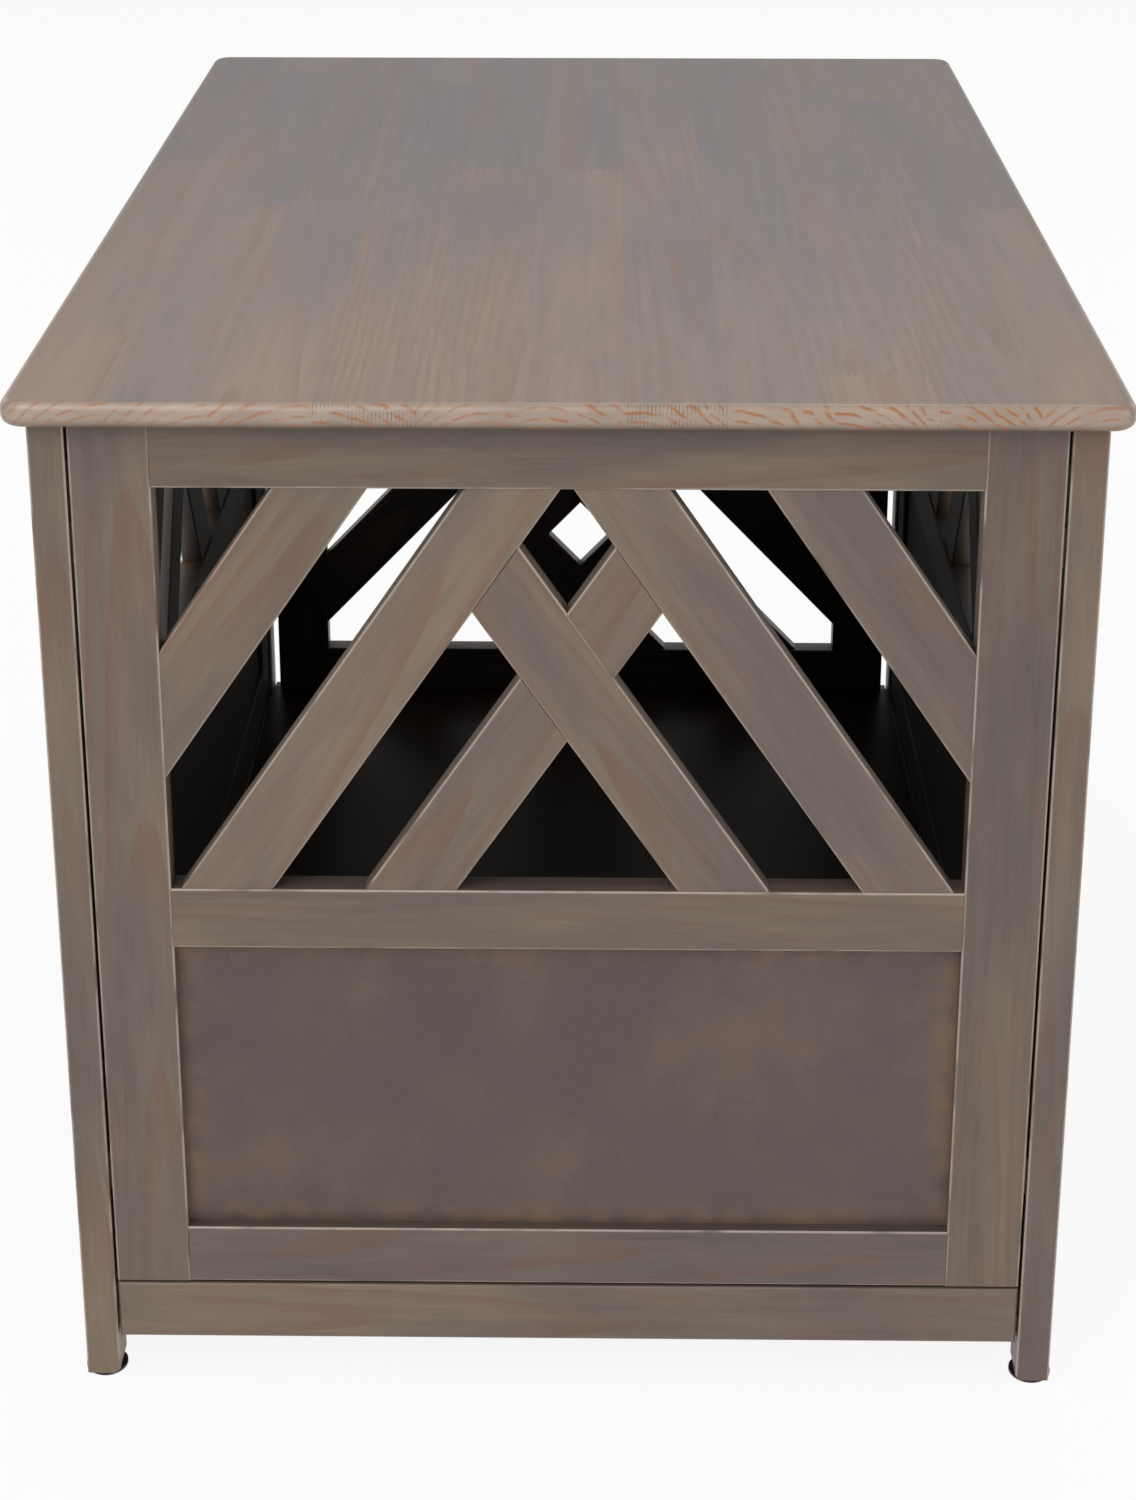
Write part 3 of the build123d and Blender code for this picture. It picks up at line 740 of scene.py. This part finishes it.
class CRATE_OT_joinery(Operator):
    """Stains the corner blocks and leaves the loose tenons bare."""

    bl_idname = "crate_table.joinery"
    bl_label = "Finish the joinery"

    def execute(self, context):
        looks = {"corner_blocks": (X, Y, 83.1, 0.9), "loose_tenons": (Z, X, 87.7, 1.3, 0.8)}
        for node, (grain, across, *look) in looks.items():
            wear(node, wood_finish(node, straight_board(node, grain, across), *look))
        return {"FINISHED"}


class CRATE_OT_hardware(Operator):
    """Gives the hinges, the bolt and the screws their dark satin metal."""

    bl_idname = "crate_table.hardware"
    bl_label = "Finish the hardware"

    def execute(self, context):
        small = context.scene.crate_table.small
        leaves = [f"{place}_hinge_{part}_leaf" for place in ("low", "high") for part in ("leg", "door")]
        metal = self.metal("hinge_metal", small.metal, small.metal_roughness)
        screw = self.metal("screw_metal", small.screw, small.metal_roughness + 0.06)
        for node in (*leaves, "hinge_pins", "bolt_plate", "bolt_keeper", "slide_bolt"):
            wear(node, metal)
        for node in ("leg_hardware_screws", "door_hardware_screws", "corner_block_screws"):
            wear(node, screw)
        return {"FINISHED"}

    @staticmethod
    def metal(name, tone, roughness):
        """Satin metal with fine upright brush marks, cloudy wear and small bright scuffs."""
        finish = Finish(name)
        x, y, z = (finish.point.along(axis) for axis in (X, Y, Z))
        brush = finish.noise(x * 1800.0, y * 1800.0, z * 60.0, 2.0)
        cloud = finish.noise(x * 70.0, y * 70.0, z * 70.0, 3.0)
        scuff = finish.noise(x * 300.0, y * 300.0, z * 300.0, 2.0).step(0.66, 0.78)
        tint = finish.shade(linear(tone), 0.8 + brush * 0.2 + cloud * 0.3 + scuff * 0.7)
        finish.give(Base_Color=tint, Metallic=0.9, Roughness=roughness - 0.05 + cloud * 0.16)
        finish.bump(brush, 0.03 * MM, 0.4)
        return finish.material


class CRATE_OT_glides(Operator):
    """Gives the glides their black moulded plastic."""

    bl_idname = "crate_table.glides"
    bl_label = "Finish the glides"

    def execute(self, context):
        small = context.scene.crate_table.small
        finish = Finish("leg_glides")
        x, y, z = (finish.point.along(axis) for axis in (X, Y, Z))
        grain = finish.noise(x * 2200.0, y * 2200.0, z * 2200.0, 1.0)
        dust = finish.noise(x * 180.0, y * 180.0, z * 180.0, 3.0)
        tint = finish.shade(linear(small.glide), 0.8 + dust * 0.6)
        finish.give(Base_Color=tint, Roughness=0.42 + dust * 0.16)
        finish.bump(grain, 0.04 * MM, 0.5)
        wear("leg_glides", finish.material)
        return {"FINISHED"}


# Each lamp: the power that it takes a share of, the share, the side of its square, its place and its aim
LAMPS = {
    "key_lamp": ("key", 1.0, 2.4, (-1.3, -2.3, 2.9), (0.0, -0.2, 0.3)),
    "fill_lamp": ("fill", 1.0, 2.0, (2.6, -1.6, 1.5), (0.0, 0.0, 0.3)),
    "back_lamp": ("fill", 1.0, 1.6, (0.4, 2.2, 3.8), (0.0, 0.2, 0.3)),
    "left_lamp": ("fill", 0.8, 2.0, (-2.6, 2.3, 1.7), (0.0, 0.2, 0.3)),
    "right_lamp": ("fill", 0.8, 2.0, (2.7, 2.3, 1.7), (0.0, 0.2, 0.3)),
}
# The long side of the camera's sensor in mm, how far it sees, and the floor's side and drop in metres
SENSOR = 36.0
VIEW_END = 200.0
FLOOR_SIDE = 40.0
FLOOR_DROP = 0.2 * MM
FLOOR_GLOW = 0.9


class CRATE_OT_stage(Operator):
    """Lays the pale floor, sets the world and lamps, and places the camera."""

    bl_idname = "crate_table.stage"
    bl_label = "Set the stage"

    def execute(self, context):
        stage = context.scene.crate_table.stage
        self.floor(stage)
        self.world(context.scene, stage)
        for name, (group, part, size, place, aim) in LAMPS.items():
            self.lamp(name, getattr(stage, group) * part, size, place, aim)
        camera = bpy.data.cameras.new("camera")
        camera.sensor_width = SENSOR
        camera.lens = stage.lens
        camera.shift_y = stage.shift
        camera.clip_end = VIEW_END
        holder = bpy.data.objects.new("camera", camera)
        holder.location = stage.place
        holder.rotation_euler = (math.pi / 2 - stage.pitch, 0.0, stage.yaw)
        context.scene.collection.objects.link(holder)
        context.scene.camera = holder
        context.scene.view_settings.view_transform = "Standard"
        return {"FINISHED"}

    @staticmethod
    def seen(finish):
        """1 for rays from the camera and for the reflections and refractions of what it sees."""
        path = finish.tree.nodes.new("ShaderNodeLightPath")
        kinds = ("Is Camera Ray", "Is Glossy Ray", "Is Transmission Ray")
        rays = [Value(finish, path.outputs[name]) for name in kinds]
        return rays[0].math("ADD", rays[0] + rays[1], rays[2], clamp=True)

    def floor(self, stage):
        """A flat square whose white is mostly its own, so that the shadow on it stays soft."""
        half = FLOOR_SIDE / 2
        corners = np.array([(-half, -half), (half, -half), (half, half), (-half, half)])
        points = np.column_stack([corners, np.full(4, -FLOOR_DROP)])
        mesh = bpy.data.meshes.new("stage_floor")
        mesh.from_pydata(points.tolist(), [], [(0, 1, 2, 3)])
        ground = bpy.data.objects.new("stage_floor", mesh)
        bpy.context.scene.collection.objects.link(ground)
        finish = Finish("stage_floor")
        grit = finish.noise(finish.point.along(X) * 40.0, finish.point.along(Y) * 40.0, 0.0)
        finish.give(Base_Color=finish.shade(linear(stage.floor), 0.99 + grit * 0.02), Roughness=0.7)
        glow = finish.tree.nodes.new("ShaderNodeEmission")
        blend = finish.tree.nodes.new("ShaderNodeMixShader")
        finish.put(blend.inputs[0], self.seen(finish) * FLOOR_GLOW)
        finish.tree.links.new(finish.shader.outputs[0], blend.inputs[1])
        finish.tree.links.new(glow.outputs[0], blend.inputs[2])
        output = finish.tree.nodes["Material Output"]
        finish.tree.links.new(blend.outputs[0], output.inputs[0])
        mesh.materials.append(finish.material)

    def world(self, scene, stage):
        """Plain light all round, and white where the camera sees it."""
        world = bpy.data.worlds.new("plain_light")
        scene.world = world
        world.use_nodes = True
        tree = world.node_tree
        tree.nodes.clear()
        light = tree.nodes.new("ShaderNodeBackground")
        white = tree.nodes.new("ShaderNodeBackground")
        path = tree.nodes.new("ShaderNodeLightPath")
        blend = tree.nodes.new("ShaderNodeMixShader")
        output = tree.nodes.new("ShaderNodeOutputWorld")
        light.inputs["Strength"].default_value = stage.world
        light.inputs["Color"].default_value = (1.0, 1.0, 1.0, 1.0)
        white.inputs["Color"].default_value = (1.0, 1.0, 1.0, 1.0)
        white.inputs["Strength"].default_value = 1.0
        tree.links.new(path.outputs["Is Camera Ray"], blend.inputs[0])
        tree.links.new(light.outputs[0], blend.inputs[1])
        tree.links.new(white.outputs[0], blend.inputs[2])
        tree.links.new(blend.outputs[0], output.inputs[0])

    @staticmethod
    def lamp(name, power, size, place, aim):
        """A square lamp that faces a point."""
        light = bpy.data.lights.new(name, "AREA")
        light.energy = power
        light.size = size
        lamp = bpy.data.objects.new(name, light)
        lamp.location = place
        turn = Vector(aim) - Vector(place)
        lamp.rotation_euler = turn.to_track_quat("-Z", "Y").to_euler()
        bpy.context.scene.collection.objects.link(lamp)


PIECES = (
    CRATE_OT_tabletop,
    CRATE_OT_legs,
    CRATE_OT_frames,
    CRATE_OT_slats,
    CRATE_OT_panels,
    CRATE_OT_floor_panel,
    CRATE_OT_joinery,
    CRATE_OT_hardware,
    CRATE_OT_glides,
    CRATE_OT_stage,
)


class CRATE_PT_sidebar(Panel):
    """Lists the settings and the operators of the table."""

    bl_idname = "CRATE_PT_sidebar"
    bl_label = "Crate Table"
    bl_space_type = "VIEW_3D"
    bl_region_type = "UI"
    bl_category = "Crate Table"

    def draw(self, context):
        table = context.scene.crate_table
        for group in ("wood", "top", "board", "small", "stage"):
            box = self.layout.box()
            box.label(text=group.title())
            settings = getattr(table, group)
            for name in settings.bl_rna.properties.keys():
                if name not in ("rna_type", "name"):
                    box.prop(settings, name)
        for piece in PIECES:
            self.layout.operator(piece.bl_idname)


CLASSES = (*SETTINGS, CrateTable, *PIECES, CRATE_PT_sidebar)


def register():
    for item in CLASSES:
        bpy.utils.register_class(item)
    bpy.types.Scene.crate_table = PointerProperty(type=CrateTable)


def unregister():
    del bpy.types.Scene.crate_table
    for item in reversed(CLASSES):
        bpy.utils.unregister_class(item)


def main():
    register()
    for piece in PIECES:
        group, name = piece.bl_idname.split(".")
        getattr(getattr(bpy.ops, group), name)()


if __name__ == "__main__":
    main()
